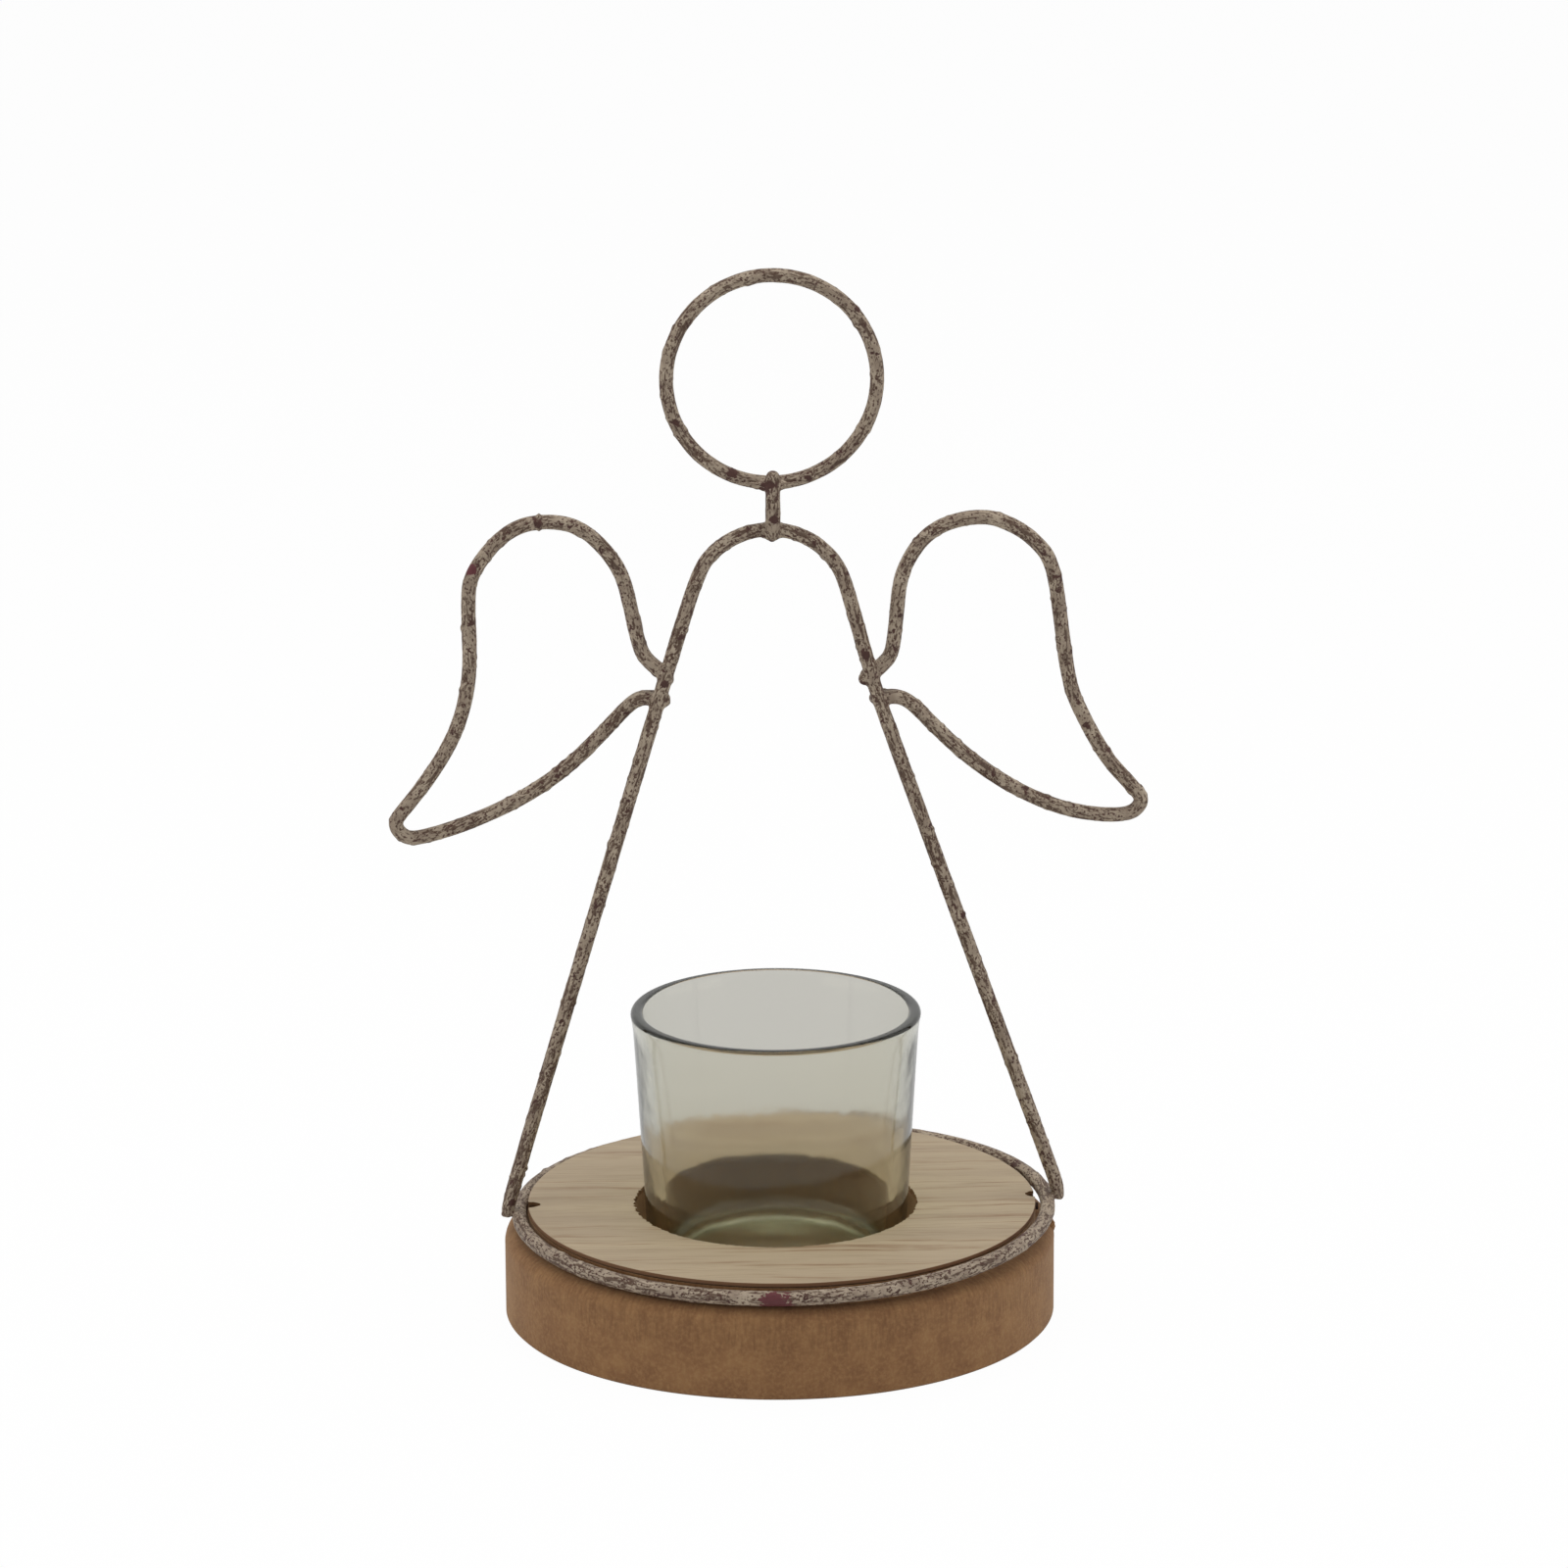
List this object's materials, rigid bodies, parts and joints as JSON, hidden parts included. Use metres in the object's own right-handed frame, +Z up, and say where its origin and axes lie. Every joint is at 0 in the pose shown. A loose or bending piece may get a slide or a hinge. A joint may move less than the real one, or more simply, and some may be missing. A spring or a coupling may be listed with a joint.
{
  "type": "angel candle holder",
  "caption": "Wire angel with halo and wings, standing on a round wooden disc with a clear glass cup for a tealight.",
  "frame": {"origin": "bottom centre of the wooden disc, on the table", "axes": "+Z up, the wire figure lies in the XZ plane, its front towards -Y and its right, as seen from the front, towards +X"},
  "size_m": [0.1638, 0.12, 0.2311],
  "materials": {
    "fibreboard": "matt, stained",
    "veneer": "matt, fine straight grain",
    "painted_wire": "worn greige paint with rust specks",
    "pin_steel": "dull",
    "cup_glass": "clear, smooth"
  },
  "bodies": {
    "root": {"base_disc": "fibreboard", "top_veneer": "veneer", "base_ring": "painted_wire", "ring_pin_left": "pin_steel", "ring_pin_right": "pin_steel", "body_wire": "painted_wire", "wing_left": "painted_wire", "wing_right": "painted_wire", "neck_wire": "painted_wire", "halo_ring": "painted_wire", "glass_cup": "cup_glass"}
  },
  "joints": []
}
